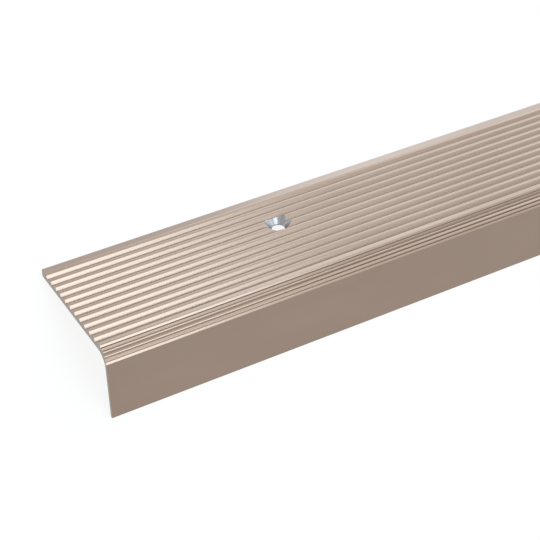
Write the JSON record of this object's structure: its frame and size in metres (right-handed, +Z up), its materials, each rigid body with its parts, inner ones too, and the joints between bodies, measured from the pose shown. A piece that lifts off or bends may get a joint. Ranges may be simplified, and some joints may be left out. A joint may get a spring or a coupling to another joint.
{
  "type": "stair nosing",
  "caption": "Satin bronze-anodised aluminium stair nosing: an L section with a ribbed anti-slip tread, a fluted round nose, a plain leg and countersunk screw holes.",
  "frame": {"origin": "bottom centre of the bounding box, on the floor under the middle of the bar", "axes": "+X along the bar, +Y from the leg towards the tread's back edge, +Z up from the floor it rests on"},
  "size_m": [0.8, 0.0568, 0.023],
  "materials": {
    "anodised_aluminium": "satin light-bronze anodised, with bare mill-bright metal at the sawn ends and in the countersinks"
  },
  "bodies": {
    "root": {"nosing": "anodised_aluminium"}
  },
  "joints": []
}
